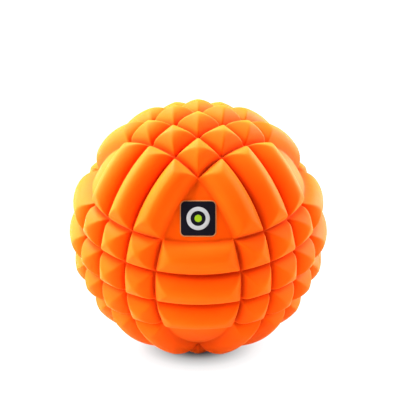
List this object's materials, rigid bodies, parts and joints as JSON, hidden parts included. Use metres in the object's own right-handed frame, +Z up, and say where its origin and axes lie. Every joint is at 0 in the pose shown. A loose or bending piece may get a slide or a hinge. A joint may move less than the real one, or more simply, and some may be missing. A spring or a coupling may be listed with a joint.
{
  "type": "textured massage ball",
  "caption": "Hollow-cored foam massage ball whose cover carries crossing bands of raised bars and pyramids round smooth triangles, with a badge set in one.",
  "frame": {"origin": "the ball's centre", "axes": "+Z up as the ball stands; the badge faces -Y and 24 degrees upwards; X is level, across the badge"},
  "size_m": [0.127, 0.1266, 0.1244],
  "materials": {
    "orange_foam": "matte moulded EVA foam",
    "core_plastic": "moulded ABS",
    "badge_black": "satin",
    "badge_silver": "satin silver",
    "badge_green": "satin"
  },
  "bodies": {
    "root": {"foam_cover_front": "orange_foam", "foam_cover_rear": "orange_foam", "core_shell_upper": "core_plastic", "core_shell_lower": "core_plastic", "badge_plate": "badge_black", "badge_ring": "badge_silver", "badge_dot": "badge_green"}
  },
  "joints": []
}
